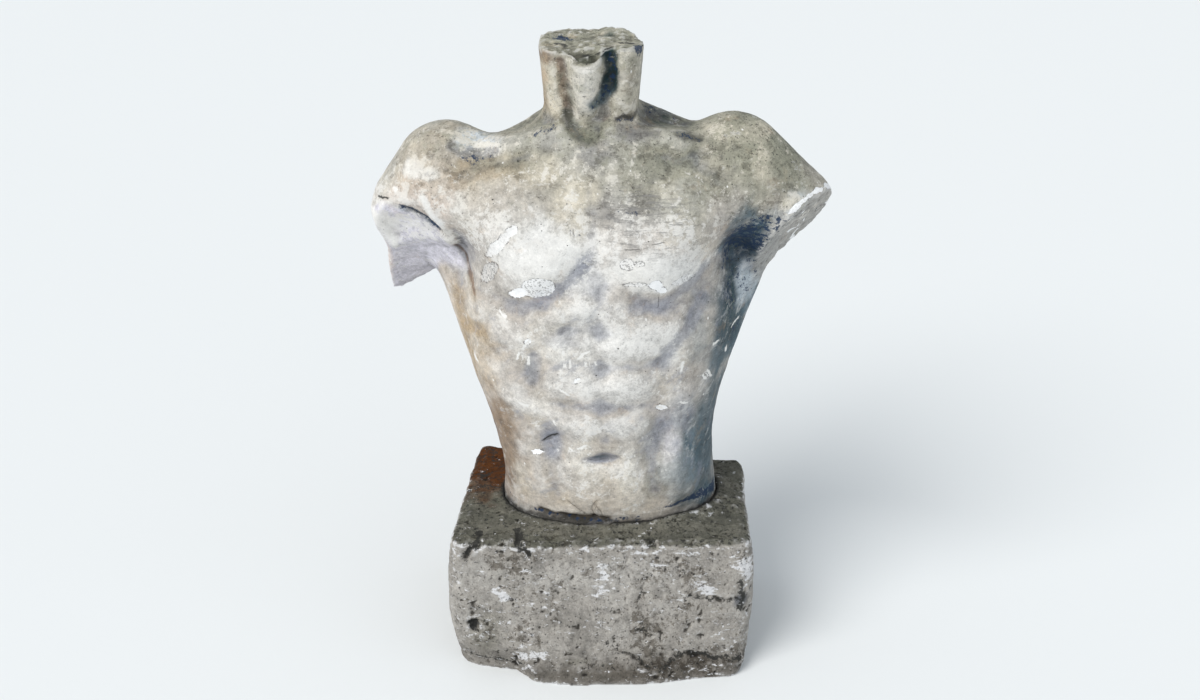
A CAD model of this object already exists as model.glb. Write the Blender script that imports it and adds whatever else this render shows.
"""A weathered plaster torso on a rough cast block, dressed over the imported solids.

Each piece is an even, fine net over its solid. The net is smoothed, carved with the cracks, pits
and broken faces, and carries soft stains as a colour at each point. The materials add what is
finer than the net: grain, pinholes, flecks, and the sharp edges of chips, cracks and scratches.
"""

import itertools
import math

import bmesh
import bpy
import numpy as np
from mathutils.bvhtree import BVHTree
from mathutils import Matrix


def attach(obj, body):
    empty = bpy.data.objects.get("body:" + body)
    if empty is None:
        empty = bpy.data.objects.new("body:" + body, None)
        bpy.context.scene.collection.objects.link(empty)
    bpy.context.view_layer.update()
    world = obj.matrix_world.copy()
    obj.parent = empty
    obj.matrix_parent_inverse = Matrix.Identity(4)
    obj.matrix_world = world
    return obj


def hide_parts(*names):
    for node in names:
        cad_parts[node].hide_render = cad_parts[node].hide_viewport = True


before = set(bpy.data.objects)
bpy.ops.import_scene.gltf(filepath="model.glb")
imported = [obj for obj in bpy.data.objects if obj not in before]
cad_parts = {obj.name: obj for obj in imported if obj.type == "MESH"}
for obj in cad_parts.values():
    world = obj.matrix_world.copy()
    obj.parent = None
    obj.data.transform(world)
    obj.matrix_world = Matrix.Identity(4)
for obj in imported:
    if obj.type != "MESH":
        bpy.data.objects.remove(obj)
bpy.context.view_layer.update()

# The figure's own units: thousandths of the torso's height, from the middle of its foot
UNIT = 0.000385
FOOT = np.array((-0.002, -0.006, 0.1148))
MM = 0.001

# Large factors and shifts that scatter the noise over its cells, and the bits that are kept
HASH_STEPS = np.array((73856093, 19349663, 83492791))
HASH_SEED_STEP = 7919
HASH_MIXERS = ((13, 1274126177), (15, 2246822519))
HASH_BITS = 0x7FFFFFFF
SLOPE_BITS = 0x3FF

TORSO_VOXEL = 0.00196
PLINTH_VOXEL = 0.0015

# How often a new net is smoothed, and how far each round draws it in and lets it out again
SMOOTH_ROUNDS = 8
DRAW_IN = 0.5
LET_OUT = 0.52

# How far a line or chip reaches in its attribute, in its own widths or in units
LINE_REACH = 8
CHIP_REACH = 14

# Colours of the plaster, its breaks and its stains, from 0 to 255
PLASTER = (188, 180, 171)
CHALK = (232, 230, 226)
CREAM = (212, 203, 184)
OCHRE = (194, 164, 130)
PEACH = (204, 174, 152)
UMBER = (136, 115, 92)
TAN = (178, 158, 130)
STEEL = (74, 88, 94)
OLIVE = (146, 145, 128)
OLIVE_DARK = (92, 94, 80)
WHITE = (252, 252, 252)
PALE_GREY = (174, 172, 168)
GREY = (128, 126, 124)
BLUE_GREY = (86, 106, 116)
PALE_BLUE = (214, 222, 228)
LAVENDER = (214, 211, 220)
TEAL = (24, 56, 60)
NIGHT_BLUE = (16, 38, 60)
INK = (20, 46, 76)
DUSK = (146, 149, 160)
BROWN = (122, 92, 66)
SOOT = (46, 46, 44)

# Colours of the block
CEMENT = (164, 159, 152)
CEMENT_LIGHT = (176, 172, 166)
CEMENT_DARK = (112, 108, 102)
MOSS = (100, 99, 88)
MOSS_LIGHT = (124, 121, 110)
LOAM = (94, 88, 80)
RUST = (90, 50, 12)
LIME = (226, 226, 228)


def ramp(value, start, end):
    """0 before start, 1 after end, smooth between; start may be the larger."""
    t = np.clip((value - start) / (end - start), 0, 1)
    return t * t * (3 - 2 * t)


def noise(points, scale, seed):
    """Smooth noise from about -1 to 1, with lumps of 1 / scale metres."""
    places = points * scale + seed * 17.3
    cell = np.floor(places).astype(np.int64)
    part = places - cell
    fade = part**3 * (part * (part * 6 - 15) + 10)
    total = np.zeros(len(points))
    for corner in itertools.product((0, 1), repeat=3):
        corner = np.array(corner)
        key = np.bitwise_xor.reduce((cell + corner) * HASH_STEPS, axis=1)
        key = key ^ (seed * HASH_SEED_STEP + 11)
        for shift, mixer in HASH_MIXERS:
            key = (key ^ (key >> shift)) * mixer & HASH_BITS
        slope = np.stack([key >> shift & SLOPE_BITS for shift in (0, 10, 20)], axis=1)
        slope = slope / (SLOPE_BITS / 2) - 1
        share = np.prod(np.where(corner == 1, fade, 1 - fade), axis=1)
        total += share * ((part - corner) * slope).sum(axis=1)
    return total * 1.7


def layered(points, scale, seed, layers=3):
    """Noise with finer noise added to it."""
    total = np.zeros(len(points))
    for layer in range(layers):
        total += noise(points, scale * 2.1**layer, seed + layer) / 2**layer
    return total / 1.6


def linear(colour):
    """A colour on the usual 0 to 255 scale as light values."""
    share = np.asarray(colour, float) / 255
    return np.where(share <= 0.04045, share / 12.92, ((share + 0.055) / 1.055) ** 2.4)


def lightness(colours):
    return colours @ np.array((0.2126, 0.7152, 0.0722))


def read(items, name, width, kind=np.float32):
    """One row of numbers for each point or edge of a mesh."""
    values = np.empty(len(items) * width, kind)
    items.foreach_get(name, values)
    return values.reshape(-1, width)


def read_normals(mesh):
    return read(mesh.vertex_normals, "vector", 3).astype(float)


def write_points(mesh, points):
    mesh.vertices.foreach_set("co", points.astype(np.float32).ravel())
    mesh.update()


def smoothed_net(mesh):
    """Smooths a new net, and gives its points, normals and edges."""
    edges = read(mesh.edges, "vertices", 2, np.int32)
    points = smoothed(read(mesh.vertices, "co", 3).astype(float), edges, SMOOTH_ROUNDS)
    write_points(mesh, points)
    return points, read_normals(mesh), edges


def neighbour_mean(values, edges):
    """The mean of each point's neighbours."""
    first, second = edges.T
    count = np.bincount(first, minlength=len(values)) + np.bincount(second, minlength=len(values))
    mean = np.empty_like(values)
    for axis in range(values.shape[1]):
        total = np.bincount(first, values[second, axis], len(values))
        total += np.bincount(second, values[first, axis], len(values))
        mean[:, axis] = total / np.maximum(count, 1)
    return mean


def smoothed(points, edges, rounds):
    """Takes the facets out without shrinking the form."""
    for _ in range(rounds):
        points = points + DRAW_IN * (neighbour_mean(points, edges) - points)
        points = points - LET_OUT * (neighbour_mean(points, edges) - points)
    return points


def hollowness(points, normals, edges, rounds):
    """How far each point lies below its surroundings, in millimetres; ridges are negative."""
    around = points
    for _ in range(rounds):
        around = neighbour_mean(around, edges)
    return ((around - points) * normals).sum(axis=1) / MM


def fine_piece(node_name, piece_name, voxel):
    """An even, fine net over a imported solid, as a new piece that stands for it."""
    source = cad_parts[node_name].data.copy()
    build = bmesh.new()
    build.from_mesh(source)
    bmesh.ops.remove_doubles(build, verts=build.verts, dist=1e-6)
    build.to_mesh(source)
    build.free()
    helper = bpy.data.objects.new("helper", source)
    bpy.context.scene.collection.objects.link(helper)
    remesh = helper.modifiers.new("even_net", "REMESH")
    remesh.mode = "VOXEL"
    remesh.voxel_size = voxel
    graph = bpy.context.evaluated_depsgraph_get()
    graph.update()
    mesh = bpy.data.meshes.new_from_object(helper.evaluated_get(graph), depsgraph=graph)
    bpy.data.objects.remove(helper, do_unlink=True)
    mesh.name = piece_name
    mesh.materials.clear()
    piece = bpy.data.objects.new(piece_name, mesh)
    bpy.context.scene.collection.objects.link(piece)
    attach(piece, "root")
    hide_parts(node_name)
    return piece


def store(mesh, name, values):
    """Keeps one number for each point, for the material to read."""
    layer = mesh.attributes.new(name, "FLOAT", "POINT")
    layer.data.foreach_set("value", values.astype(np.float32))


def store_colour(mesh, name, colours):
    layer = mesh.attributes.new(name, "FLOAT_COLOR", "POINT")
    rows = np.column_stack((np.clip(colours, 0, 1), np.ones(len(colours))))
    layer.data.foreach_set("color", rows.astype(np.float32).ravel())


def from_path(spots, path):
    """Distance from a path, signed by the side, and 1 where the nearest place is within its ends."""
    nearest = np.full(len(spots), 1e9)
    side = np.ones(len(spots))
    within = np.zeros(len(spots))
    last = len(path) - 2
    for number, (start, end) in enumerate(zip(path[:-1], path[1:])):
        along = np.subtract(end, start)
        share = (spots - start) @ along / (along @ along)
        gap = spots - start - np.clip(share, 0, 1)[:, None] * along
        distance = np.linalg.norm(gap, axis=1)
        closer = distance < nearest
        nearest = np.where(closer, distance, nearest)
        side = np.where(closer, np.where(along[0] * gap[:, 1] > along[1] * gap[:, 0], 1.0, -1.0), side)
        beyond = ((number == 0) & (share < 0)) | ((number == last) & (share > 1))
        within = np.where(closer, np.where(beyond, 0.0, 1.0), within)
    return nearest * side, within


def furrow(spots, path, width):
    """1 along a path, falling to 0 beside it."""
    distance, _ = from_path(spots, path)
    return np.exp(-((distance / width) ** 2))


def spot_field(spots, centre, half_long, half_short, lean):
    """About how far each place is inside an oval, in the same units; negative outside."""
    turn = math.radians(lean)
    away = spots - centre
    along = (away[:, 0] * math.cos(turn) + away[:, 1] * math.sin(turn)) / half_long
    across = (away[:, 1] * math.cos(turn) - away[:, 0] * math.sin(turn)) / half_short
    return (1 - np.hypot(along, across)) * min(half_long, half_short)


class Marks:
    """Thin lines on a net, kept as a signed distance in line widths and a mask."""

    def __init__(self, count):
        self.distance = np.full(count, float(LINE_REACH))
        self.shown = np.zeros(count)

    def add(self, spots, path, width, mask):
        distance, within = from_path(spots, path)
        distance = distance / width
        closer = (np.abs(distance) < np.abs(self.distance)) & (mask > 0.02)
        self.distance = np.where(closer, distance, self.distance)
        self.shown = np.where(closer, within * mask * ramp(np.abs(distance), LINE_REACH, 3), self.shown)


class Paint:
    """The colour of each point, with soft ragged stains laid over one another."""

    def __init__(self, points, places, face, scale, colour):
        self.points = points
        self.places = places
        self.face = face
        self.scale = scale
        self.colours = np.tile(linear(colour), (len(points), 1))
        self.seed = 60

    def lay(self, colour, share):
        self.colours += np.clip(share, 0, 1)[:, None] * (linear(colour) - self.colours)

    def stain(self, centre, reach, colour, strength, raggedness=0.45):
        self.seed += 1
        away = np.linalg.norm((self.places - centre) / reach, axis=1)
        self.lay_ragged(away, 1.0, raggedness, colour, strength * np.ones(len(away)))

    def streak(self, mask, path, width, colour, strength, raggedness=0.6):
        self.seed += 1
        distance, _ = from_path(self.face, path)
        self.lay_ragged(np.abs(distance) / width, 1.6, raggedness, colour, strength * mask)

    def lay_ragged(self, away, fineness, raggedness, colour, strength):
        """Lays a colour where away is under about 1, with an uneven edge."""
        inside = (away < 1.3 + raggedness * 1.3) & (strength > 0.01)
        share = np.zeros(len(away))
        rough = layered(self.points[inside], self.scale * fineness, self.seed)
        share[inside] = strength[inside] * ramp(away[inside] + raggedness * rough, 1.28, 0.4)
        self.lay(colour, share)


def right_break(x, y):
    """Height of the break of the figure's right arm, as in the solids."""
    out = x + 373
    deep = y + 30
    return 690 - 0.62 * out - 1.6 * deep - 0.0016 * out**2 + 0.0015 * deep**2 + 0.0062 * out * deep


def left_break(x, y):
    """Height of the break of the figure's left arm."""
    return 684 + 1.12 * (x - 455) - 0.85 * (y - 50)


def break_faces(units, normals):
    """Where the plaster is broken: right arm, left arm and neck, each from 0 to 1."""
    x, y, z = units.T
    right_way = np.array((-0.31, -0.79, -0.52))
    left_way = np.array((0.65, -0.49, -0.58))
    right = ramp(np.abs(z - right_break(x, y)), 40, 20) * ramp(normals @ right_way, 0.3, 0.62)
    right = right * ramp(x, -236, -256)
    left = ramp(np.abs(z - left_break(x, y)), 40, 20) * ramp(normals @ left_way, 0.35, 0.65)
    left = left * ramp(x, 305, 325)
    neck = ramp(z, 962, 984) * ramp(normals[:, 2], 0.3, 0.6)
    lip = np.interp(x, [-440, -378, -336, -300, -262], [698, 688, 668, 630, 560])
    return right * ramp(z - lip, 10, -10), left, neck


# Lines on the torso's front, by x and height in the figure's units
FOLD = [(-279, 606), (-262, 588), (-254, 560), (-246, 515), (-240, 480)]
FOLD_EDGE = [(-336, 722), (-326, 700), (-300, 668), (-280, 630), (-262, 592)]
STUMP_LIP = [(-378, 690), (-362, 688), (-336, 672), (-314, 655)]
STUMP_NICK = [(-432, 700), (-407, 705)]
STUMP_RIDGE = [(-405, 590), (-370, 610), (-330, 618), (-285, 622)]
STUMP_RIM = [(-440, 668), (-425, 632), (-406, 594)]
NAVEL = [(-22, 180), (1, 176), (18, 178), (40, 185)]
NAVEL_LID = [(-14, 190), (6, 194), (36, 197), (62, 192)]
THROAT_CUP = [(-56, 876), (-50, 856), (-36, 842), (-18, 836), (0, 842)]
THROAT_COLUMN = [(-26, 960), (-24, 920), (-20, 880), (-17, 856)]
BROWN_GROOVE = [(-72, 978), (-68, 945), (-62, 915), (-56, 892)]
TEAL_GROOVE = [(24, 990), (27, 962), (21, 932)]
TEAL_RUN = [(20, 925), (6, 905), (-8, 893)]
COLLAR_SLOT = [(38, 868), (53, 871), (70, 866)]
COLLAR_SHADE = [(43, 853), (80, 850), (112, 844)]
LINEA = [(2, 560), (0, 480), (2, 400), (6, 330)]
FOOT_NOTCHES = (
    ([(-120, 30), (-90, 24), (-77, 27), (-52, 19)], 6),
    ([(-66, 22), (-39, 22), (-9, 24)], 9),
    ([(-3, 24), (22, 20)], 7),
)
FOOT_CRACKS = (
    [(-60, 66), (-50, 57), (-41, 50), (-32, 43), (-24, 34)],
    [(-1, 77), (-8, 68), (-12, 57), (-9, 42), (-4, 22)],
    [(-4, 62), (8, 40), (14, 24)],
)
BELLY_CRACK = [(-111, 209), (-99, 219), (-84, 230)]
FOOT_CRESCENT = [(131, 47), (173, 50), (217, 50), (252, 40)]

# Cracks of the neck's broken top, by x and depth: path, width
TOP_CRACKS = (
    ([(-32, -22), (-22, -28), (-13, -32), (-4, -31), (6, -32)], 3.2),
    ([(9, -33), (18, -22), (30, -10)], 2.2),
    ([(-80, 20), (-66, 14), (-58, 6)], 5),
    ([(40, 24), (52, 20), (70, 22)], 4),
)

# White scratches and small dark nicks on the front
WHITE_DASHES = (
    [(-153, 420), (-161, 400)],
    [(-148, 427), (-140, 440), (-130, 455)],
    [(-137, 410), (-138, 389)],
    [(-67, 406), (-66, 393)],
    [(-52, 412), (-54, 395)],
    [(-38, 413), (-28, 426), (-14, 434)],
    [(-24, 409), (-22, 397)],
    [(-5, 412), (-1, 398)],
    [(-65, 437), (-67, 422)],
    [(-42, 363), (-28, 370)],
    [(-74, 346), (-62, 338), (-54, 332)],
    [(172, 392), (166, 368)],
    [(231, 415), (242, 418)],
    [(262, 386), (264, 369)],
    [(222, 358), (231, 334)],
    [(211, 349), (220, 334)],
    [(118, 298), (134, 289)],
    [(166, 302), (183, 291)],
    [(-42, 204), (-21, 213)],
    [(-58, 204), (-50, 197)],
    [(-192, 503), (-184, 497), (-177, 490)],
    [(-252, 372), (-243, 358)],
    [(274, 422), (288, 432)],
    [(-89, 271), (-83, 258)],
    [(-158, 304), (-138, 300)],
)
DARK_NICKS = (
    [(52, 652), (84, 653)],
    [(104, 660), (128, 664)],
    [(-46, 690), (-43, 676)],
    [(119, 546), (120, 524)],
)

# Dark lines on the torso's front: path, width, strength
CRACKS = (
    *((path, 1.0, 0.5) for path in FOOT_CRACKS),
    *((path, 0.9, 0.6) for path in DARK_NICKS),
    (BELLY_CRACK, 1.8, 1),
    (NAVEL[:3], 0.7, 0.3),
    (FOLD[:4], 0.6, 0.4),
    (STUMP_LIP, 0.9, 0.6),
    (STUMP_NICK, 1.8, 1),
    (COLLAR_SLOT, 2.2, 0.8),
)

# Ingrained dirt on the torso: middle, reach, strength; and along lines: path, width, strength
DIRT = (
    ((292, -20, 630), (60, 90, 76), 0.68),
    ((300, 20, 520), (44, 80, 90), 0.32),
    ((332, -30, 668), (50, 70, 34), 0.56),
    ((258, -50, 600), (18, 60, 70), 0.62),
    ((266, -20, 510), (20, 60, 80), 0.45),
    ((284, 0, 400), (26, 70, 50), 0.36),
    ((-234, -34, 787), (24, 40, 8), 0.52),
    ((-66, 60, 998), (26, 30, 16), 0.9),
    ((80, -12, 1000), (16, 30, 18), 0.85),
    ((-93, 20, 985), (20, 30, 16), 0.6),
    ((104, 84, 856), (26, 50, 20), 0.4),
    ((-200, -60, 30), (40, 60, 24), 0.45),
    ((60, -120, 24), (60, 60, 14), 0.45),
)
DIRT_LINES = (
    ([(-378, 692), (-362, 690), (-336, 674), (-310, 650)], 8, 0.8),
    ([(26, 992), (29, 962), (26, 936)], 8, 0.55),
    ([(22, 925), (8, 905), (-4, 893)], 8, 0.5),
    ([(38, 866), (53, 869), (70, 864)], 4, 0.62),
    ([(-200, 796), (-228, 790), (-262, 798)], 4, 0.42),
    ([(-150, 842), (-118, 838), (-80, 850)], 6, 0.5),
    ([(150, 838), (172, 832), (196, 826)], 4, 0.48),
    ([(40, 720), (100, 712)], 5, 0.4),
    ([(-58, 690), (-30, 676)], 5, 0.4),
    ([(-150, 34), (-120, 26), (-60, 20), (30, 20)], 6, 0.42),
)

# Swellings and hollows of the muscles: path, half width, height in millimetres
FORMS = (
    ([(-100, 552), (-61, 582), (-27, 622)], 30, -2),
    ([(82, 536), (121, 522), (164, 536), (199, 556)], 28, -2),
    ([(-200, 520), (-150, 522), (-100, 536)], 24, -1.4),
    ([(-70, 522), (-24, 526), (12, 516)], 24, 1.7),
    ([(54, 485), (102, 471), (166, 468)], 22, 1.8),
    ([(15, 433), (73, 437), (139, 422)], 19, 1.5),
    ([(-74, 385), (5, 390), (84, 389), (174, 382)], 20, -0.5),
    ([(16, 347), (50, 350), (90, 347)], 24, 1.5),
    ([(-170, 304), (-115, 289)], 26, 1.7),
    ([(-75, 309), (5, 297), (106, 292), (198, 283)], 20, -0.5),
    ([(-80, 258), (5, 252), (88, 260)], 20, 1.4),
    ([(-90, 250), (-97, 190), (-102, 130), (-82, 80)], 24, -2),
    ([(117, 245), (111, 182), (119, 98)], 26, -2.2),
    ([(147, 212), (150, 140)], 26, 1.8),
    ([(56, 157), (63, 79)], 26, 1.2),
    ([(189, 236), (204, 180), (213, 114)], 20, -1.2),
    ([(-133, 415), (-130, 362)], 18, -1.2),
    ([(-72, 475), (-44, 438)], 20, -1.1),
    ([(-193, 488), (-142, 440)], 20, 1.3),
    ([(-239, 440), (-193, 409), (-154, 373)], 20, -1.2),
    ([(200, 524), (181, 481), (152, 437), (123, 406)], 18, -1.6),
    ([(232, 513), (219, 464), (194, 414)], 18, 1.2),
)

# Chips on the torso's front: middle, half lengths, lean in degrees, share of dark specks, whiteness
CHIPS = (
    ((-114, 568), 34, 25, 14, 0.8, 0.75),
    ((-152, 552), 24, 11, 28, 0.1, 1),
    ((-187, 652), 43, 10, 53, 0.2, 0.55),
    ((-160, 684), 14, 9, 40, 0, 0.65),
    ((-210, 580), 33, 12, 62, 0.9, 0.35),
    ((112, 578), 14, 12, -10, 0, 1),
    ((124, 564), 12, 8, -40, 0, 1),
    ((56, 623), 14, 13, 0, 0.9, 0.3),
    ((80, 625), 10, 6, 0, 1, 0.2),
    ((74, 580), 26, 5, 2, 0.9, 0.4),
    ((166, 578), 24, 9, 8, 0.6, 0.4),
    ((-124, 182), 14, 6, 10, 0, 1),
    ((130, 293), 13, 7, -20, 0.1, 0.9),
    ((-40, 366), 9, 6, 30, 0, 0.9),
    ((-136, 448), 9, 7, 50, 0, 0.9),
)

# Stains of the torso, in the order they are laid: middle, reach, colour, strength, raggedness
WIDE_STAINS = (
    # Flanks, shoulders and arms
    ((-258, 0, 370), (80, 150, 150), TAN, 1),
    ((-300, 60, 400), (56, 120, 180), OCHRE, 0.15),
    ((-206, -10, 150), (84, 160, 160), UMBER, 1),
    ((-212, 20, 150), (40, 150, 180), BROWN, 0.75, 0.3),
    ((-340, -40, 720), (80, 60, 70), PEACH, 0.45),
    ((-300, -30, 800), (130, 110, 80), TAN, 0.5),
    ((-180, -60, 740), (90, 90, 60), TAN, 0.35),
    ((310, -20, 420), (108, 140, 240), BLUE_GREY, 1),
    ((235, -50, 150), (120, 110, 160), BLUE_GREY, 1),
    ((262, -50, 180), (70, 100, 180), STEEL, 0.7, 0.6),
    ((330, 10, 790), (130, 130, 110), OLIVE, 0.8),
    ((150, -100, 770), (130, 90, 70), OLIVE, 0.6),
    # Pale places of the chest and belly
    ((-115, -140, 640), (92, 90, 76), CHALK, 1),
    ((-20, -130, 600), (64, 60, 100), CHALK, 0.75),
    ((100, -140, 600), (90, 60, 44), CHALK, 1),
    ((-40, -110, 735), (46, 60, 70), CREAM, 0.7),
    ((-110, -110, 790), (60, 60, 30), CREAM, 0.6),
    ((-10, -150, 430), (110, 70, 110), CHALK, 0.55),
    ((60, -150, 460), (90, 60, 36), CHALK, 0.7),
    ((30, -150, 330), (90, 70, 40), CHALK, 0.55),
    ((-120, -130, 300), (50, 60, 26), CHALK, 0.45),
    ((0, -140, 255), (80, 60, 20), CHALK, 0.45),
    ((60, -130, 130), (24, 50, 60), CREAM, 0.9),
    ((-170, -90, 90), (40, 50, 60), CREAM, 0.5),
    # Grey and blue-grey shades
    ((78, -129, 716), (66, 50, 36), GREY, 0.5),
    ((14, -120, 722), (28, 50, 28), GREY, 0.6),
    ((-6, -69, 815), (40, 40, 36), GREY, 0.7),
    ((-90, -60, 832), (24, 40, 24), GREY, 0.5),
    ((78, -60, 842), (46, 40, 14), GREY, 0.8),
    ((-232, 0, 815), (50, 50, 24), PALE_BLUE, 0.85),
    ((-130, -140, 528), (60, 40, 14), DUSK, 0.4),
    ((-132, -110, 385), (16, 30, 36), BLUE_GREY, 0.32),
    ((-60, -130, 455), (44, 30, 20), DUSK, 0.5),
    ((-95, -110, 205), (26, 40, 60), DUSK, 0.7),
    ((-70, -110, 120), (44, 40, 40), DUSK, 0.4),
    ((118, -110, 200), (34, 40, 70), BLUE_GREY, 0.35),
    ((160, -90, 120), (60, 60, 60), BLUE_GREY, 0.65),
    ((150, -96, 200), (24, 30, 40), LAVENDER, 0.6),
    ((40, -120, 90), (30, 40, 24), GREY, 0.5),
    ((200, -110, 450), (28, 40, 90), BLUE_GREY, 0.4),
    ((138, -110, 430), (48, 60, 64), CHALK, 0.65),
    ((150, -120, 604), (76, 60, 40), CHALK, 0.85),
    ((165, -100, 270), (46, 50, 60), DUSK, 0.6),
    ((20, -120, 130), (170, 60, 110), CREAM, 0.25),
    # Behind the left collarbone
    ((125, 60, 850), (56, 60, 24), TEAL, 0.9, 0.4),
    ((172, 70, 838), (34, 50, 14), OLIVE, 0.6),
    # The back
    ((0, 130, 640), (70, 90, 170), GREY, 0.4),
    ((-170, 120, 640), (100, 80, 110), CREAM, 0.5),
    ((170, 120, 640), (100, 80, 110), PALE_GREY, 0.5),
    ((20, 120, 260), (150, 80, 120), OCHRE, 0.3),
)
NECK_AND_ARM_STAINS = (
    # The neck
    ((-78, 0, 920), (22, 60, 50), CREAM, 0.85, 0.6),
    ((-20, -30, 930), (28, 40, 60), CHALK, 0.45, 0.4),
    ((-96, 0, 985), (24, 60, 18), BROWN, 0.6, 0.6),
    ((60, 0, 945), (16, 40, 36), BROWN, 0.3, 0.6),
    ((72, 0, 890), (20, 40, 30), CREAM, 0.6, 0.6),
    ((96, 20, 950), (14, 60, 50), TEAL, 0.65, 0.5),
    ((-98, 40, 930), (12, 60, 70), OCHRE, 0.5, 0.5),
    # The left armpit, both shoulders and the left arm
    ((272, -50, 470), (46, 80, 130), STEEL, 0.8, 0.5),
    ((290, -10, 640), (52, 90, 84), BLUE_GREY, 1, 0.7),
    ((286, 10, 630), (40, 80, 70), NIGHT_BLUE, 0.45, 0.9),
    ((325, 0, 605), (46, 70, 60), NIGHT_BLUE, 0.4, 1),
    ((256, -50, 580), (18, 60, 90), NIGHT_BLUE, 0.5, 0.7),
    ((266, -20, 500), (22, 60, 80), TEAL, 0.6, 0.7),
    ((304, 40, 500), (36, 70, 60), PALE_BLUE, 0.65, 0.9),
    ((284, 0, 400), (30, 70, 50), TEAL, 0.4, 0.8),
    ((388, -40, 690), (40, 60, 40), PALE_BLUE, 0.6, 0.8),
    ((370, -50, 706), (24, 60, 18), CREAM, 0.8, 0.6),
    ((318, -40, 790), (22, 60, 50), CREAM, 0.6, 0.6),
    ((290, -10, 835), (90, 90, 16), CREAM, 0.6, 0.5),
    ((70, -10, 862), (30, 30, 10), CREAM, 0.9, 0.5),
    ((-206, -10, 806), (30, 60, 12), CHALK, 0.9, 0.5),
)


def frayed(points, spots, amount, scale, seed):
    """The places shifted a little here and there, so that a line drawn on them wanders."""
    shift = np.column_stack((layered(points, scale, seed), layered(points, scale, seed + 7)))
    return spots + amount * shift


def reshape_stump(points, units):
    """Draws the broken right arm down to its low outer corner."""
    x, y, z = units.T
    low = ramp(z, 610, 480) * ramp(x, -290, -320)
    moved = points.copy()
    moved[:, 2] -= 6.5 * MM * low * ramp(x, -372, -430)
    moved[:, 2] += 4.0 * MM * low * ramp(x, -400, -340)
    return moved


def carve_torso(points, normals, units, breaks, front):
    """How far each point is raised, in millimetres."""
    x, y, z = units.T
    right, left, neck = breaks
    wide_face = units[:, (0, 2)]
    face = frayed(points, wide_face, 5, 55, 101)
    whole = 1 - np.maximum(np.maximum(right, left), neck)
    rise = 0.4 * layered(points, 40, 1) + 0.22 * noise(points, 140, 5) + 0.08 * noise(points, 330, 7)
    loose_face = frayed(points, wide_face, 14, 22, 111)
    for path, width, height in FORMS:
        rise += height * front * whole * furrow(loose_face, path, width)
    rise += right * (0.7 * layered(points, 34, 9) + 0.12 * noise(points, 200, 14))
    rise += left * (1.6 * layered(points, 60, 9) + 0.6 * noise(points, 230, 14))
    rise += neck * (2.6 * layered(points, 55, 17) + 0.9 * noise(points, 240, 19) - 0.4)
    facet = ramp(spot_field(wide_face, (-24, 994), 36, 24, 0), -3, 9) * ramp(y, -8, -26)
    rise -= 4.2 * facet
    stump = ramp(x, -240, -260) * ramp(normals[:, 1], 0.2, -0.1)
    rise += 2.6 * stump * furrow(wide_face, STUMP_RIDGE, 16)
    rise += 1.6 * stump * furrow(wide_face, STUMP_RIM, 10)
    throat = front * ramp(z, 815, 835)
    drawn = (
        (stump, STUMP_LIP, 6, -1.6),
        (stump, STUMP_NICK, 5, -0.8),
        (front, FOLD_EDGE, 8, 0.9),
        (front, FOLD, 7, -0.9),
        (front, NAVEL, 8, -0.5),
        (front, NAVEL_LID, 8, 0.7),
        (front, LINEA, 14, -0.4),
        (throat, THROAT_CUP, 10, -1.7),
        (throat, THROAT_COLUMN, 20, 1.3),
        (throat, BROWN_GROOVE, 12, -1.2),
        (throat, TEAL_GROOVE, 13, -2.6),
        (throat, TEAL_RUN, 12, -1.2),
        (throat, COLLAR_SLOT, 7, -1.5),
        (throat, COLLAR_SHADE, 12, -1.0),
    )
    for mask, path, width, height in drawn:
        rise += height * mask * furrow(face, path, width)
    for path, width in FOOT_NOTCHES:
        rise -= 2.8 * front * furrow(face, path, width)
    for path in FOOT_CRACKS:
        rise -= 0.6 * front * furrow(face, path, 5)
    rise -= 1.0 * front * furrow(face, BELLY_CRACK, 6)
    for *oval, _, _ in CHIPS:
        rise -= 0.4 * front * ramp(spot_field(face, *oval), -2, 3)
    return rise


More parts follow.
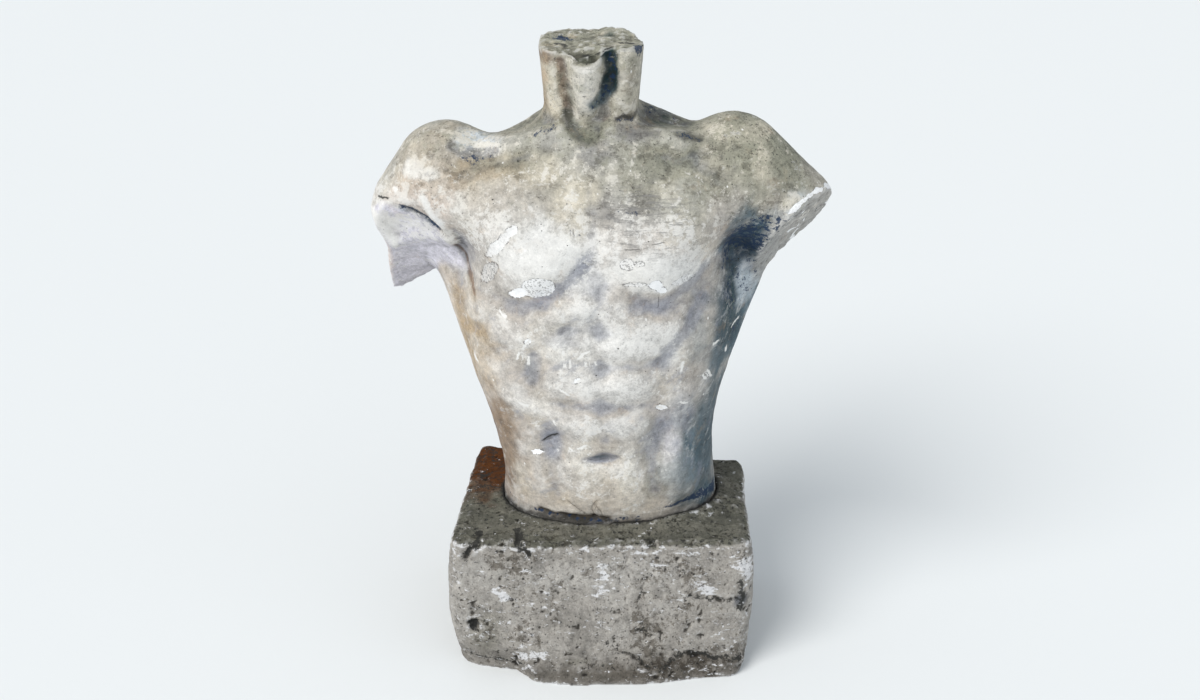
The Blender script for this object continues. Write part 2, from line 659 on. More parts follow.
def paint_torso(points, normals, units, face, breaks, front, edges):
    """The stains of the plaster, from the widest to the smallest."""
    x, y, z = units.T
    right, left, neck = breaks
    paint = Paint(points, units, face, 55, PLASTER)
    blotch = layered(points, 26, 40)
    patch = layered(points, 60, 44, 4)
    broad = hollowness(points, normals, edges, 70)
    near = hollowness(points, normals, edges, 12)
    paint.lay(CREAM, 0.3 * ramp(blotch, 0.0, 0.4))
    paint.lay(PALE_GREY, 0.3 * ramp(blotch, -0.05, -0.4))
    upper = ramp(z + 50 * blotch, 640, 840)
    paint.lay(OLIVE, 0.75 * upper)
    paint.lay(GREY, 0.35 * ramp(y + 60 * blotch, 60, 130))

    for row in WIDE_STAINS:
        paint.stain(*row)

    paint.lay(DUSK, 0.4 * ramp(broad, 0.15, 1.1) * (1 - upper))
    paint.lay(OLIVE_DARK, 0.55 * ramp(broad, 0.15, 1.2) * upper)
    paint.lay(CHALK, 0.3 * ramp(broad, -0.1, -0.9) * (1 - 0.6 * upper) * ramp(x, 260, 100))
    paint.lay(CREAM, 0.35 * ramp(patch, 0.1, 0.45) * upper)
    paint.lay(OLIVE_DARK, 0.2 * ramp(patch, -0.1, -0.5) * upper)
    pale = 0.2 * ramp(patch, 0.1, 0.5) * (1 - upper)
    paint.lay(CHALK, pale * ramp(x, 240, 120) * ramp(x, -260, -180))
    paint.lay(DUSK, 0.5 * ramp(near, 0.15, 0.8))
    paint.lay(CHALK, 0.3 * ramp(near, -0.12, -0.7) * ramp(z, 960, 700) * ramp(x, 260, 100))

    stem = ramp(z, 850, 875) * ramp(np.abs(x - 2), 125, 105)
    paint.lay(CREAM, 0.35 * stem)
    for row in NECK_AND_ARM_STAINS:
        paint.stain(*row)
    paint.streak(front, [(150, 838), (172, 832), (196, 826)], 6, SOOT, 0.7)
    paint.streak(front, [(-196, 803), (-228, 797), (-254, 801), (-282, 813)], 8, GREY, 0.7)
    paint.lay(LAVENDER, 0.95 * right)
    paint.stain((-418, 20, 632), (26, 60, 40), CHALK, 0.9)
    paint.stain((-360, 20, 650), (44, 60, 22), CHALK, 0.5)
    paint.stain((-432, 80, 560), (12, 60, 80), PEACH, 0.6)
    paint.lay(PALE_GREY, 0.8 * left)
    rim = ramp(np.abs(z - left_break(x, y)), 30, 12) * ramp(x, 320, 345)
    paint.lay(CHALK, 0.85 * rim * (1 - left) * ramp(layered(points, 120, 48), -0.2, 0.2))
    paint.lay(OLIVE, 0.75 * neck)
    paint.lay(CREAM, 0.55 * neck * ramp(layered(points, 90, 49), 0.05, 0.4))
    paint.stain((-22, -40, 990), (36, 34, 20), OLIVE_DARK, 1.0, 0.3)

    throat = front * ramp(z, 815, 835)
    paint.streak(throat, BROWN_GROOVE, 10, BROWN, 0.6)
    paint.streak(throat, TEAL_GROOVE, 17, TEAL, 1.0, 0.5)
    paint.streak(throat, TEAL_RUN, 13, BLUE_GREY, 0.9)
    paint.streak(throat, THROAT_CUP, 11, OLIVE_DARK, 0.7)
    paint.streak(throat, COLLAR_SLOT, 6, SOOT, 0.5)
    paint.streak(throat, COLLAR_SHADE, 12, GREY, 0.7)
    paint.streak(front, FOLD_EDGE[:3], 5, WHITE, 0.8, 1.2)
    paint.streak(front, FOLD[:4], 4, BROWN, 0.7)
    paint.streak(front, [(-108, 540), (-62, 572), (-24, 622)], 17, DUSK, 0.75, 0.7)
    paint.streak(front, [(70, 524), (128, 526), (172, 552), (206, 590)], 14, DUSK, 0.55, 0.7)
    paint.streak(front, [(206, 524), (180, 470), (140, 420)], 16, DUSK, 0.55, 0.8)
    stump = ramp(x, -240, -260) * ramp(normals[:, 1], 0.15, -0.1)
    paint.streak(stump, STUMP_LIP, 10, BLUE_GREY, 0.5)
    paint.streak(stump, STUMP_RIM, 11, CHALK, 0.9)
    paint.stain((6, -116, 178), (34, 40, 9), DUSK, 0.8, 0.6)
    paint.stain((8, -116, 182), (18, 40, 4), BLUE_GREY, 0.6, 0.6)
    paint.streak(front, FOOT_CRESCENT[1:], 18, BLUE_GREY, 0.8, 1.2)
    for path, width in FOOT_NOTCHES:
        paint.streak(front, path, width, SOOT, 0.9)
    chalky = frayed(points, units[:, (0, 2)], 8, 90, 131)
    paint.stain((-196, -50, 190), (40, 90, 130), UMBER, 0.65, 0.5)
    paint.stain((0, -100, 50), (220, 120, 90), TAN, 0.3, 0.6)
    crumbled = 0.5 + 0.5 * ramp(layered(points, 210, 133), -0.4, 0.2)
    soft_chip = spot_field(chalky, (-350, 768), 30, 22, 10)
    paint.lay(WHITE, 0.9 * crumbled * front * ramp(soft_chip, -2, 12) * ramp(x, -310, -360))
    paint.lay(WHITE, 0.5 * crumbled * front * ramp(spot_field(chalky, (-322, 766), 26, 14, 0), -2, 8))
    paint.lay(WHITE, 0.7 * crumbled * front * ramp(spot_field(chalky, (-392, 726), 6, 4, 20), -1, 3))
    contact = ramp(z + 9 * layered(points, 110, 171), 26, 15)
    paint.lay(SOOT, 0.85 * contact)
    return paint.colours


def speckled_dirt(points, units, face, front):
    """Where dark blue-black dirt is ingrained in specks, from 0 to 1."""
    dirt = np.zeros(len(points))
    for centre, reach, strength in DIRT:
        away = np.linalg.norm((units - centre) / reach, axis=1)
        dirt = np.maximum(dirt, strength * ramp(away, 1.25, 0.35))
    for path, width, strength in DIRT_LINES:
        dirt = np.maximum(dirt, strength * front * furrow(face, path, width))
    thickness = np.interp(units[:, 0], [110, 150, 252], [1, 5, 21])
    crescent, _ = from_path(face, FOOT_CRESCENT)
    dirt = np.maximum(dirt, 0.74 * front * ramp(np.abs(crescent), thickness, 0.4 * thickness))
    return np.clip(dirt + 0.1 * layered(points, 110, 191) * (dirt > 0), 0, 1)


def store_torso_shares(mesh, points, normals, units, front, tint, edges):
    """How much crust, film, grime and brushed or hatched lines each point of the torso has."""
    x, _, z = units.T
    fine_hollow = hollowness(points, normals, edges, 2)
    store(mesh, "fine_hollow", np.where(z < 36, np.maximum(fine_hollow, 0.2), fine_hollow))
    lighter = lightness(tint) - lightness(linear(PLASTER))
    smooth_belly = ramp(z + 40 * layered(points, 26, 40), 640, 520) * front
    flanks = ramp(np.abs(x + 0.3 * z - 120), 150, 230) * ramp(z, 640, 560)
    crust = 0.36 + 0.85 * lighter + 0.3 * layered(points, 48, 201, 4)
    store(mesh, "crust", crust - 0.13 * smooth_belly - 0.16 * flanks)
    film = 0.32 - 0.6 * lighter + 0.3 * layered(points, 60, 211, 4)
    store(mesh, "film", film - 0.2 * smooth_belly)
    store(mesh, "brushed", smooth_belly)
    grime = 0.6 * ramp(z, 640, 860) + 0.35 * ramp(x, 150, 330) + 0.3 * ramp(z, 70, 0)
    store(mesh, "grime", np.clip(grime + 0.4 * layered(points, 30, 52), 0, 1))
    hatched = ramp(spot_field(units[:, (0, 2)], (95, 700), 110, 70, -12), -20, 30) * front
    store(mesh, "hatched", hatched)


def store_chips(mesh, points, normals, units, face, front):
    """The chips: how far inside one each point is, and how speckled and white it is there."""
    x, y, z = units.T
    chip = np.full(len(points), -float(CHIP_REACH))
    specks = np.zeros(len(points))
    white = np.zeros(len(points))
    for *oval, speckled, whiteness in CHIPS:
        field = spot_field(face, *oval)
        inner = (field > chip) & (front > 0.3)
        chip = np.where(inner, np.minimum(field, CHIP_REACH), chip)
        specks = np.where(inner, speckled, specks)
        white = np.where(inner, whiteness, white)
    rim = 9 - np.abs(z - left_break(x, y) - 14) + 17 * layered(points, 75, 181, 4)
    rim = rim - 10 * ramp(x, 395, 350)
    on_rim = (rim > chip) & (x > 335) & (normals[:, 1] < 0.35)
    chip = np.where(on_rim, np.minimum(rim, CHIP_REACH), chip)
    specks = np.where(on_rim, 0.25, specks)
    white = np.where(on_rim, 0.9, white)
    for name, values in (("chip", chip), ("specks", specks), ("white", white)):
        store(mesh, name, values)


def store_lines(mesh, points, normals, units, face, front):
    """The cracks and the white dashes."""
    cracks = Marks(len(points))
    for path, width, strength in CRACKS:
        cracks.add(face, path, width, strength * front)
    top = ramp(normals[:, 2], 0.2, 0.6) * ramp(units[:, 2], 950, 975)
    plan = frayed(points, units[:, (0, 1)], 5, 130, 151)
    for path, width in TOP_CRACKS:
        cracks.add(plan, path, width, top)
    dashes = Marks(len(points))
    for path in WHITE_DASHES:
        dashes.add(face, path, 2.4, front)
    store(mesh, "crack", cracks.distance)
    store(mesh, "cracked", cracks.shown)
    store(mesh, "dash", dashes.distance)
    store(mesh, "dashed", dashes.shown)


def sculpt_torso(piece):
    mesh = piece.data
    points, normals, edges = smoothed_net(mesh)
    units = (points - FOOT) / UNIT
    breaks = break_faces(units, normals)
    front = ramp(normals[:, 1], 0.1, -0.25)
    rise = carve_torso(points, normals, units, breaks, front)
    points = reshape_stump(points + normals * (rise * MM)[:, None], units)
    write_points(mesh, points)
    normals = read_normals(mesh)
    stain_face = frayed(points, units[:, (0, 2)], 6, 60, 121)
    tint = paint_torso(points, normals, units, stain_face, breaks, front, edges)
    store_colour(mesh, "tint", tint)
    store(mesh, "dirt", speckled_dirt(points, units, stain_face, front))
    store_torso_shares(mesh, points, normals, units, front, tint, edges)
    mark_face = frayed(points, units[:, (0, 2)], 3.5, 130, 141)
    store_chips(mesh, points, normals, units, mark_face, front)
    store_lines(mesh, points, normals, units, mark_face, front)


# Lines on the block's front, by x and height in millimetres
LEDGE_CRACK = [(13, 27), (22, 24), (30, 20), (40, 15), (52, 13), (60, 17), (68, 21), (90, 18), (116, 15)]
SLANT_CRACK = [(46, 106), (42, 96), (36, 87), (33, 78), (31, 69)]
SIDE_CRACK = [(72, 73), (86, 70), (100, 68), (113, 68)]
TOP_EDGE_GAPS = (
    [(-108, 106), (-104, 111), (-98, 116)],
    [(-66, 118), (-60, 112), (-57, 108)],
    [(40, 117), (44, 115)],
)
DARK_HOLE = [(-105, 46), (-101, 47), (-104, 41)]
LIME_BLOTCHES = (
    ((-80, 76), 7, 4, -50),
    ((-74, 70), 5, 3, -30),
    ((84, 79), 7, 3, -30),
    ((92, 74), 7, 2.5, -10),
    ((110, 100), 6, 4, -30),
    ((118, 92), 9, 4, 80),
    ((-52, 20), 9, 2, 4),
    ((44, 101), 5, 2, 0),
    ((0, 76), 4, 2, 40),
    ((-93, 92), 3, 2, 0),
    ((2, 92), 3, 6, 10),
)

# Damp patches of the block's front: middle and reach; dirt along lines: path, width, strength
DAMP_SPOTS = (
    ((55, 100), (26, 16)),
    ((-72, 104), (22, 12)),
    ((-96, 40), (14, 22)),
    ((24, 26), (34, 12)),
    ((60, 14), (40, 8)),
    ((-58, 36), (20, 12)),
    ((36, 48), (16, 12)),
    ((76, 88), (14, 12)),
    ((96, 20), (30, 10)),
)
BLOCK_DIRT = (
    (LEDGE_CRACK[:4], 3, 0.52),
    (LEDGE_CRACK[3:], 4.5, 0.62),
    ([(-112, 12), (-84, 10), (-58, 12)], 3, 0.5),
    (SLANT_CRACK, 3, 0.45),
    (SIDE_CRACK, 3, 0.6),
    (DARK_HOLE, 4, 0.95),
    ([(112, 82), (114, 70), (112, 60)], 3.5, 0.8),
    (TOP_EDGE_GAPS[0], 4, 0.8),
    (TOP_EDGE_GAPS[1], 4, 0.8),
    (TOP_EDGE_GAPS[2], 3, 0.6),
    ([(0, 34), (14, 30)], 4, 0.55),
    ([(30, 46), (40, 40)], 5, 0.5),
    ([(60, 96), (74, 92)], 4, 0.5),
    ([(-60, 100), (-54, 96)], 4, 0.45),
    ([(-60, 44), (-52, 34)], 4, 0.45),
)

# Stains of the block: middle, reach, colour, strength, raggedness
BLOCK_STAINS = (
    ((-92, 10, 120), (28, 26, 20), MOSS, 0.6),
    ((0, -48, 118), (110, 14, 20), MOSS_LIGHT, 0.55),
    ((-94, 56, 120), (46, 60, 34), RUST, 1, 0.5),
    ((113, -77, 67), (7, 20, 8), NIGHT_BLUE, 0.7),
    ((40, -80, 95), (40, 20, 16), CEMENT_LIGHT, 0.6),
    ((-30, -80, 90), (50, 20, 14), CEMENT_LIGHT, 0.5),
    ((-92, -80, 40), (18, 20, 26), MOSS_LIGHT, 0.5),
    ((60, -90, 10), (80, 30, 10), LOAM, 0.9),
    ((-20, -95, 8), (50, 30, 8), LOAM, 0.7),
)

# Lumps on the top at the torso's left, and how wide they are, in millimetres
TOP_LUMPS = ((98, -14), (110, -17), (104, -6), (88, -22), (114, -4))
LUMP_WIDTH = 4.2

# Height where the seat's rim starts, how far it is drawn towards the torso, and where it is darkest
SEAT_RIM_HEIGHT = 0.108
SEAT_REACH = 0.006
SEAT_TOUCH = 0.002


def block_face(points):
    """The places on the block's front, in millimetres, shifted a little here and there."""
    return frayed(points, points[:, (0, 2)] / MM, 3.0, 60, 161)


def carve_plinth(points, normals):
    """How far each point of the block is raised, in millimetres."""
    places = points / MM
    x, y, z = places.T
    front = ramp(normals[:, 1], -0.25, -0.6)
    top = ramp(normals[:, 2], 0.5, 0.8)
    face = block_face(points)
    rise = 0.75 * layered(points, 55, 21) + 0.45 * noise(points, 200, 27) + 0.2 * noise(points, 420, 28)
    pits = layered(points, 95, 33)
    rise -= 1.3 * ramp(pits, 0.34, 0.62)
    broken_off = 0.35 + 0.65 * ramp(layered(points, 45, 35), -0.3, 0.2)
    rise -= 1.9 * broken_off * front * furrow(face, LEDGE_CRACK, 2.6)
    rise -= 0.6 * front * furrow(face, SLANT_CRACK, 2.6)
    rise -= 0.9 * broken_off * furrow(face, SIDE_CRACK, 2.2) * ramp(y, -40, -60)
    rise -= 4.5 * furrow(face, DARK_HOLE, 3.2) * ramp(y, -40, -60)
    for path in TOP_EDGE_GAPS:
        rise -= 2.4 * furrow(face, path, 2.8) * ramp(y, -50, -57)
    for centre in TOP_LUMPS:
        away = np.hypot(x - centre[0], y - centre[1])
        rise += 1.8 * top * np.exp(-((away / LUMP_WIDTH) ** 2))
    return rise * ramp(z, 0.0, 5.0), top


def paint_plinth(points, normals, hollow, top, seat_shade):
    """The stains of the block."""
    places = points / MM
    _, y, z = places.T
    paint = Paint(points, places, block_face(points), 70, CEMENT)
    blotch = layered(points, 30, 70)
    paint.lay(CEMENT_LIGHT, 0.6 * ramp(blotch, 0.0, 0.5))
    paint.lay(CEMENT_DARK, 0.45 * ramp(blotch, -0.1, -0.55))
    paint.lay(CEMENT_DARK, 0.45 * ramp(z + 6 * blotch, 34, 12))
    paint.lay(CEMENT_DARK, 0.55 * ramp(normals[:, 1], -0.2, 0.5))
    paint.lay(MOSS, 0.95 * ramp(normals[:, 2] + 0.2 * blotch, 0.45, 0.8) * ramp(z, 100, 112))
    paint.lay(MOSS_LIGHT, 0.7 * top * ramp(layered(points, 60, 73, 4), 0.0, 0.4))
    paint.lay(SOOT, 0.35 * top * ramp(layered(points, 45, 87, 4), 0.0, 0.5))
    for row in BLOCK_STAINS:
        paint.stain(*row)
    paint.streak(ramp(y, -50, -57), DARK_HOLE, 3.2, SOOT, 0.95, 0.5)
    limed = 0.35 * ramp(hollow, -0.25, -1.0) * ramp(layered(points, 80, 79), -0.25, 0.25)
    paint.lay(LIME, limed * (1 - seat_shade) * ramp(y, 60, 0))
    paint.lay(SOOT, 0.6 * ramp(hollow, 0.25, 1.1))
    paint.lay(SOOT, 0.9 * ramp(seat_shade + 0.3 * layered(points, 120, 85), 0.3, 0.8))
    return paint.colours


def store_block_marks(mesh, points, hollow, top, seat_shade):
    """How much lime crust, damp film and ingrained dirt each point of the block has."""
    places = points / MM
    x, y, z = places.T
    face = block_face(points)
    on_front = ramp(y, -30, -55)
    crust = 0.24 + 0.24 * layered(points, 30, 221, 4) + 0.34 * ramp(hollow, -0.25, -1.0)
    crust += 0.12 * ramp(np.abs(z - 112), 6, 2) - 0.1 * top
    for centre, half_long, half_short, lean in LIME_BLOTCHES:
        field = spot_field(face, centre, 1.3 * half_long, 1.3 * half_short, lean)
        crust += 0.4 * ramp(field, -3, 3) * on_front
    store(mesh, "crust", crust * (1 - seat_shade) * (0.45 + 0.55 * ramp(y, 70, 30)))
    film = 0.26 + 0.1 * top + 0.26 * layered(points, 24, 231, 4)
    for centre, reach in DAMP_SPOTS:
        away = np.hypot((face[:, 0] - centre[0]) / reach[0], (face[:, 1] - centre[1]) / reach[1])
        film += 0.24 * ramp(away, 1.3, 0.3) * on_front
    store(mesh, "film", film)
    corner = ramp(np.hypot(x + 94, y - 56), 60, 30)
    on_top = top * (0.32 + 0.1 * corner + 0.16 * layered(points, 50, 251, 3))
    dirt = np.maximum(0.9 * seat_shade, on_top)
    for path, width, strength in BLOCK_DIRT:
        dirt = np.maximum(dirt, strength * on_front * furrow(face, path, width))
    dirt += 0.16 * layered(points, 90, 241) * (dirt > 0.05)
    store(mesh, "dirt", np.clip(dirt, 0, 1))


def close_seat(points, torso_mesh):
    """Draws the rim of the seat unevenly towards the torso; also gives its shade."""
    corners = [vertex.co.copy() for vertex in torso_mesh.vertices]
    faces = [tuple(polygon.vertices) for polygon in torso_mesh.polygons]
    tree = BVHTree.FromPolygons(corners, faces)
    rim = np.nonzero(points[:, 2] > SEAT_RIM_HEIGHT)[0]
    shade = np.zeros(len(points))
    pull = 0.55 + 0.55 * layered(points[rim], 60, 90)
    for index, share in zip(rim, np.clip(pull, 0, 0.9)):
        place, _, _, distance = tree.find_nearest(points[index].tolist(), SEAT_REACH)
        if place is None:
            continue
        closeness = float(ramp(np.array(distance), SEAT_REACH, SEAT_TOUCH))
        shade[index] = closeness
        share *= closeness
        gap = np.array(place) - points[index]
        gap[2] = max(gap[2], 0)
        points[index] += share * gap
    return points, shade


def sculpt_plinth(piece, torso_mesh):
    mesh = piece.data
    points, normals, edges = smoothed_net(mesh)
    rise, top = carve_plinth(points, normals)
    points = points + normals * (rise * MM)[:, None]
    points, seat_shade = close_seat(points, torso_mesh)
    points[:, 2] = np.maximum(points[:, 2], 0.0)
    write_points(mesh, points)
    normals = read_normals(mesh)
    hollow = hollowness(points, normals, edges, 8)
    store_colour(mesh, "tint", paint_plinth(points, normals, hollow, top, seat_shade))
    fine_hollow = hollowness(points, normals, edges, 2)
    store(mesh, "fine_hollow", np.where(seat_shade > 0.05, np.maximum(fine_hollow, 0), fine_hollow))
    store_block_marks(mesh, points, hollow, top, seat_shade)


def rgba(colour):
    return (*linear(colour), 1)


# Brush strokes of the plaster: how much they slant and how many times longer than wide they are
STROKE_SLANT = math.radians(-38)
STROKE_STRETCH = 3.2


class Graph:
    """A short way to write a material's nodes; base is its colour so far."""

    def __init__(self, name):
        self.material = bpy.data.materials.new(name)
        self.material.use_nodes = True
        self.tree = self.material.node_tree
        self.shader = self.tree.nodes["Principled BSDF"]
        self.places = self.new("ShaderNodeTexCoord").outputs["Object"]
        self.base = self.new("ShaderNodeAttribute", attribute_name="tint").outputs["Color"]

    def new(self, kind, **settings):
        node = self.tree.nodes.new(kind)
        for name, value in settings.items():
            setattr(node, name, value)
        return node

    def put(self, socket, value):
        if isinstance(value, bpy.types.NodeSocket):
            self.tree.links.new(value, socket)
        else:
            socket.default_value = value

    def number(self, name):
        return self.new("ShaderNodeAttribute", attribute_name=name).outputs["Fac"]

    def moved(self, offset, stretch):
        node = self.new("ShaderNodeMapping")
        self.put(node.inputs["Vector"], self.places)
        node.inputs["Location"].default_value = (offset, offset * 0.7, -offset)
        node.inputs["Scale"].default_value = stretch
        return node.outputs["Vector"]

    def noise_at(self, places, scale, detail, rough):
        node = self.new("ShaderNodeTexNoise")
        given = {"Vector": places, "Scale": scale, "Detail": detail, "Roughness": rough}
        for name, value in given.items():
            self.put(node.inputs[name], value)
        return node.outputs["Fac"]

    def noise(self, scale, detail, rough, offset=0.0, stretch=(1, 1, 1)):
        return self.noise_at(self.moved(offset, stretch), scale, detail, rough)

    def strokes(self, scale, offset):
        """Noise drawn out along a slant, as by a brush; it rises to the figure's left."""
        turned = self.new("ShaderNodeMapping", vector_type="TEXTURE")
        self.put(turned.inputs["Vector"], self.places)
        turned.inputs["Location"].default_value = (offset, 0, offset)
        turned.inputs["Rotation"].default_value = (0, STROKE_SLANT, 0)
        turned.inputs["Scale"].default_value = (STROKE_STRETCH, 1, 1)
        return self.noise_at(turned.outputs["Vector"], scale, 7, 0.74)

    def math(self, operation, *values):
        node = self.new("ShaderNodeMath", operation=operation)
        for socket, value in zip(node.inputs, values):
            self.put(socket, value)
        return node.outputs["Value"]

    def plus(self, first, second):
        return self.math("ADD", first, second)

    def times(self, first, second):
        return self.math("MULTIPLY", first, second)

    def centred(self, value, spread):
        """Turns a value from 0 to 1 into one from -spread / 2 to spread / 2."""
        return self.math("MULTIPLY_ADD", value, spread, -spread / 2)

    def step(self, value, start, end, low=0.0, high=1.0):
        node = self.new("ShaderNodeMapRange", interpolation_type="SMOOTHSTEP")
        for socket, given in zip(node.inputs, (value, start, end, low, high)):
            self.put(socket, given)
        return node.outputs["Result"]

    def speckled(self, name, scale, spread, offset, start, end, stretch=(1, 1, 1)):
        """Turns a share kept on the net into a crisp, ragged mask."""
        ragged = self.centred(self.noise(scale, 8, 0.76, offset, stretch), spread)
        return self.step(self.plus(ragged, self.number(name)), start, end)

    def dots(self, scale, size, share, offset, stretch=(1, 1, 1)):
        """Small round dots, in about the given share of the cells."""
        cells = self.new("ShaderNodeTexVoronoi")
        self.put(cells.inputs["Vector"], self.moved(offset, stretch))
        cells.inputs["Scale"].default_value = scale
        red = self.new("ShaderNodeSeparateColor")
        self.put(red.inputs["Color"], cells.outputs["Color"])
        wobble = self.centred(self.noise(scale * 5, 1, 0.5, offset), size * 0.9)
        dot = self.step(self.plus(cells.outputs["Distance"], wobble), size, size * 0.6)
        return self.times(dot, self.step(red.outputs["Red"], 1 - share, 1.02 - share))

    def blend(self, share, first, second, way="MIX"):
        node = self.new("ShaderNodeMix", data_type="RGBA", blend_type=way)
        self.put(node.inputs["Factor"], share)
        self.put(node.inputs[6], first)
        self.put(node.inputs[7], second)
        return node.outputs[2]

    def over(self, share, colour, way="MIX"):
        """Lays one of the named colours over the base."""
        self.base = self.blend(share, self.base, rgba(colour), way)

    def shade_base(self, shade):
        grey = self.new("ShaderNodeCombineColor")
        for socket in grey.inputs:
            self.put(socket, shade)
        self.base = self.blend(1.0, self.base, grey.outputs["Color"], "MULTIPLY")

    def finish(self, roughness, specular, height, depth):
        """Gives the shader its colour, roughness, specular level and fine relief."""
        self.put(self.shader.inputs["Base Color"], self.base)
        self.put(self.shader.inputs["Roughness"], roughness)
        self.shader.inputs["Specular IOR Level"].default_value = specular
        bump = self.new("ShaderNodeBump")
        self.put(bump.inputs["Height"], height)
        bump.inputs["Distance"].default_value = depth
        bump.inputs["Strength"].default_value = 1.0
        self.put(self.shader.inputs["Normal"], bump.outputs["Normal"])
        return self.material


def plaster_material():
    """Old plaster: mottled, stained, pricked with pinholes, chipped white and scratched."""
    g = Graph("patinated_plaster")
    mottle = g.noise(170, 7, 0.74)
    grain = g.noise(700, 4, 0.68, 3.0)
    cloud = g.noise(42, 5, 0.66, 5.0)
    shade = g.math("MULTIPLY_ADD", mottle, 1.5, 0.17)
    shade = g.plus(shade, g.centred(grain, 0.8))
    shade = g.plus(shade, g.centred(cloud, 0.8))
    g.shade_base(shade)

    grime = g.number("grime")
    smear = g.plus(g.noise(85, 6, 0.72, 9.0), g.centred(grime, 0.26))
    g.over(g.step(smear, 0.52, 0.7, 0.0, 0.55), OLIVE)
    warm = g.step(g.noise(60, 5, 0.7, 12.0), 0.56, 0.74, 0.0, 0.22)
    g.over(warm, OCHRE)
    speck = g.plus(g.noise(480, 4, 0.7, 14.0), g.centred(grime, 0.12))
    g.over(g.step(speck, 0.61, 0.67, 0.0, 0.75), SOOT)
    crust = g.times(g.speckled("crust", 190, 2.2, 43.0, 0.44, 0.56), 0.62)
    g.base = g.blend(crust, g.base, g.blend(grime, rgba(CHALK), rgba(CREAM)))
    film = g.times(g.speckled("film", 150, 2.2, 47.0, 0.44, 0.62, (1, 1, 1.5)), 0.62)
    g.over(film, PALE_GREY, "MULTIPLY")

    brushed = g.number("brushed")
    pale_strokes = g.step(g.strokes(70, 17.0), 0.53, 0.66, 0.0, 0.42)
    g.over(g.times(pale_strokes, brushed), CHALK)
    dusky_strokes = g.step(g.strokes(55, 57.0), 0.54, 0.68, 0.0, 0.5)
    g.over(g.times(dusky_strokes, brushed), DUSK)

    streaks = g.noise(60, 5, 0.75, 17.0, (1, 1, 7))
    hatch = g.times(g.number("hatched"), g.step(streaks, 0.53, 0.6, 0.0, 0.6))
    g.over(hatch, GREY)
    scrapes = g.step(g.noise(34, 5, 0.75, 21.0, (2.2, 1, 5)), 0.6, 0.68, 0.0, 0.3)
    g.over(scrapes, CHALK)

    fine_hollow = g.number("fine_hollow")
    g.over(g.step(fine_hollow, 0.05, 0.35, 0.0, 0.7), PALE_GREY, "MULTIPLY")
    g.over(g.step(fine_hollow, -0.08, -0.5, 0.0, 0.35), CHALK)
    dirt = g.speckled("dirt", 260, 3.4, 53.0, 0.5, 0.66)
    dirt = g.times(dirt, g.step(g.number("dirt"), 0.02, 0.25, 0.0, 0.9))
    g.over(dirt, INK)

    ragged = g.centred(g.noise(420, 4, 0.65, 24.0), 8.0)
    chip = g.plus(g.number("chip"), ragged)
    inside = g.step(chip, -0.2, 0.8)
    specks = g.step(g.noise(620, 3, 0.6, 27.0), 0.52, 0.58)
    specks = g.times(specks, g.number("specks"))
    g.over(g.times(inside, g.number("white")), WHITE)
    g.over(g.times(inside, g.times(specks, 0.75)), GREY)
    outline = g.step(g.math("ABSOLUTE", chip), 1.2, 0.3)
    outline = g.times(outline, g.step(g.noise(260, 3, 0.6, 29.0), 0.46, 0.6, 0.0, 0.7))
    g.over(outline, SOOT)

    wander = g.centred(g.noise(360, 3, 0.6, 31.0), 3.4)
    dash = g.step(g.math("ABSOLUTE", g.plus(g.number("dash"), wander)), 1.3, 0.8)
    g.over(g.times(dash, g.number("dashed")), CHALK)
    flecks = g.dots(85, 0.075, 0.16, 33.0, (1, 1, 0.6))
    g.over(g.times(flecks, 0.85), CHALK)

    crack = g.step(g.math("ABSOLUTE", g.plus(g.number("crack"), wander)), 1.4, 0.6)
    crack = g.times(crack, g.number("cracked"))
    pins = g.dots(170, 0.1, 0.22, 37.0, (1, 1, 1.5))
    holes = g.dots(55, 0.05, 0.35, 41.0, (1, 1, 1.6))
    dark = g.math("MAXIMUM", crack, g.math("MAXIMUM", pins, holes))
    g.over(g.times(dark, 0.88), SOOT)

    height = g.plus(g.times(mottle, 0.9), g.times(grain, 0.3))
    height = g.math("SUBTRACT", height, g.times(dark, 0.5))
    height = g.math("SUBTRACT", height, g.times(inside, 0.22))
    height = g.math("SUBTRACT", height, g.times(hatch, 0.2))
    roughness = g.step(mottle, 0.2, 0.8, 0.62, 0.92)
    return g.finish(roughness, specular=0.35, height=height, depth=0.0011)


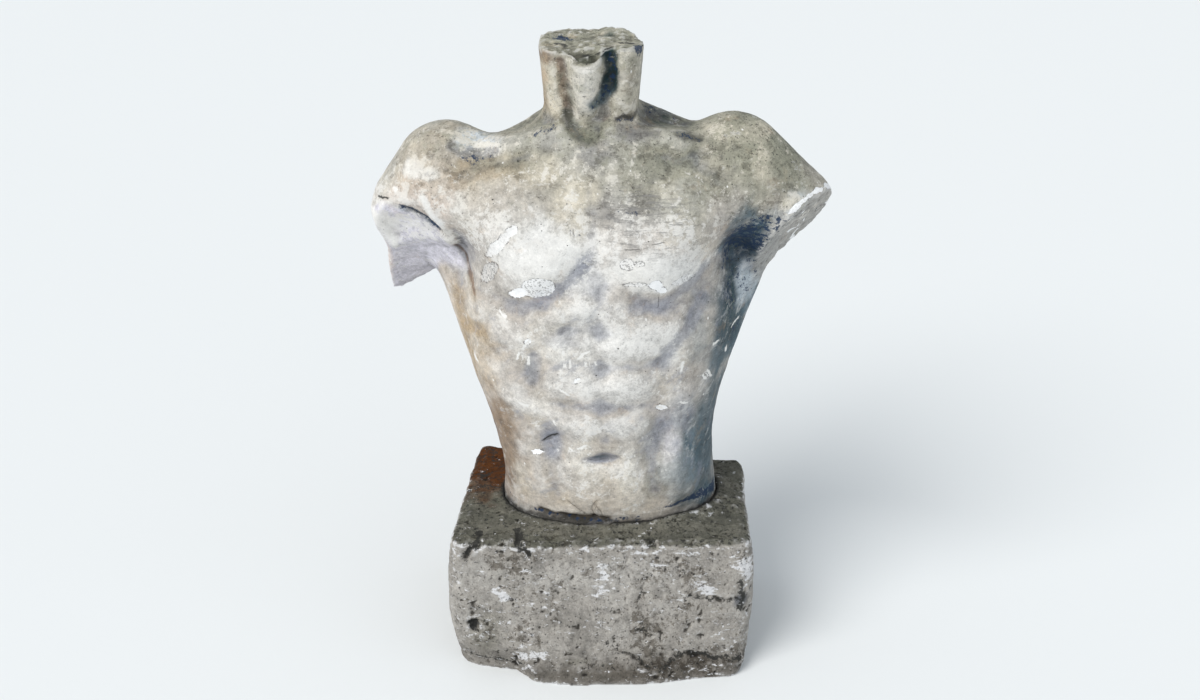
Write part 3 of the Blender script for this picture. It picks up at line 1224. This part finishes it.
def cement_material():
    """Rough cast cement: sandy, pitted, scraped pale, with dark damp growth."""
    g = Graph("cast_cement")
    mottle = g.noise(110, 8, 0.76, 2.0)
    grain = g.noise(620, 4, 0.7, 4.0)
    shade = g.math("MULTIPLY_ADD", mottle, 1.9, -0.07)
    shade = g.plus(shade, g.centred(grain, 0.9))
    g.shade_base(shade)
    film = g.speckled("film", 150, 2.4, 6.0, 0.46, 0.6)
    g.over(g.times(film, 0.85), CEMENT, "MULTIPLY")
    crust = g.speckled("crust", 180, 3.0, 8.0, 0.5, 0.62, (0.8, 1, 1.8))
    g.over(g.times(crust, 0.78), LIME)
    fine_hollow = g.number("fine_hollow")
    g.over(g.step(fine_hollow, 0.05, 0.4, 0.0, 0.8), CEMENT_DARK, "MULTIPLY")
    g.over(g.step(fine_hollow, -0.08, -0.45, 0.0, 0.4), CEMENT_LIGHT)
    dirt = g.speckled("dirt", 260, 3.2, 53.0, 0.5, 0.64)
    dirt = g.times(dirt, g.step(g.number("dirt"), 0.02, 0.2))
    g.over(g.times(dirt, 0.9), SOOT)
    flecks = g.dots(120, 0.1, 0.2, 10.0, (1, 1, 0.8))
    g.over(g.times(flecks, 0.75), LIME)
    pins = g.dots(130, 0.11, 0.22, 13.0)
    holes = g.dots(52, 0.07, 0.25, 15.0)
    specks = g.step(g.noise(420, 4, 0.7, 19.0), 0.61, 0.68)
    dark = g.math("MAXIMUM", specks, g.math("MAXIMUM", pins, holes))
    g.over(g.times(dark, 0.8), SOOT)
    height = g.plus(g.times(mottle, 0.9), g.times(grain, 0.45))
    height = g.math("SUBTRACT", height, g.times(dark, 0.6))
    roughness = g.step(mottle, 0.2, 0.8, 0.8, 0.98)
    return g.finish(roughness, specular=0.25, height=height, depth=0.0016)


torso = fine_piece("torso", "torso_plaster", TORSO_VOXEL)
plinth = fine_piece("plinth", "plinth_cement", PLINTH_VOXEL)
sculpt_torso(torso)
sculpt_plinth(plinth, torso.data)
for piece in (torso, plinth):
    piece.data.shade_smooth()
torso.data.materials.append(plaster_material())
plinth.data.materials.append(cement_material())

FLOOR_SIZE = 12
FLOOR_COLOUR = (232, 234, 234)
FLOOR_ROUGHNESS = 0.7
bpy.ops.mesh.primitive_plane_add(size=FLOOR_SIZE)
floor = bpy.context.object
floor.name = "floor"
floor_material = bpy.data.materials.new("pale_floor")
floor_material.use_nodes = True
floor_shader = floor_material.node_tree.nodes["Principled BSDF"]
floor_shader.inputs["Base Color"].default_value = rgba(FLOOR_COLOUR)
floor_shader.inputs["Roughness"].default_value = FLOOR_ROUGHNESS
floor.data.materials.append(floor_material)

# Camera, at the photograph's angle
CAMERA_DISTANCE = 1.2
CAMERA_PITCH = math.radians(26.2)
CAMERA_AIM = 0.2535
FOCAL_PIXELS = 1509
PHOTO_WIDTH = 1200
SENSOR_WIDTH = 36
camera_data = bpy.data.cameras.new("camera")
camera_data.sensor_width = SENSOR_WIDTH
camera_data.lens = FOCAL_PIXELS * SENSOR_WIDTH / PHOTO_WIDTH
camera = bpy.data.objects.new("camera", camera_data)
camera.location = (
    0,
    -CAMERA_DISTANCE * math.cos(CAMERA_PITCH),
    CAMERA_AIM + CAMERA_DISTANCE * math.sin(CAMERA_PITCH),
)
camera.rotation_euler = (math.pi / 2 - CAMERA_PITCH, 0, 0)
bpy.context.scene.collection.objects.link(camera)
bpy.context.scene.camera = camera


def soft_sun(name, azimuth, elevation, strength, spread, colour):
    """A sun from the given side: azimuth 0 is from the camera's side, positive from its right."""
    data = bpy.data.lights.new(name, "SUN")
    data.energy = strength
    data.angle = math.radians(spread)
    data.color = colour
    light = bpy.data.objects.new(name, data)
    light.rotation_euler = (math.radians(90 - elevation), 0, math.radians(azimuth))
    bpy.context.scene.collection.objects.link(light)


soft_sun("key", azimuth=-46, elevation=44, strength=2.4, spread=36, colour=(1.0, 0.985, 0.96))
soft_sun("fill", azimuth=50, elevation=30, strength=0.3, spread=60, colour=(0.85, 0.93, 1.0))

SKY_COLOUR = (0.88, 0.94, 1.0, 1)
SKY_STRENGTH = 0.58
world = bpy.data.worlds.new("studio")
world.use_nodes = True
sky = world.node_tree.nodes["Background"]
sky.inputs["Color"].default_value = SKY_COLOUR
sky.inputs["Strength"].default_value = SKY_STRENGTH
bpy.context.scene.world = world
bpy.context.scene.view_settings.view_transform = "Standard"
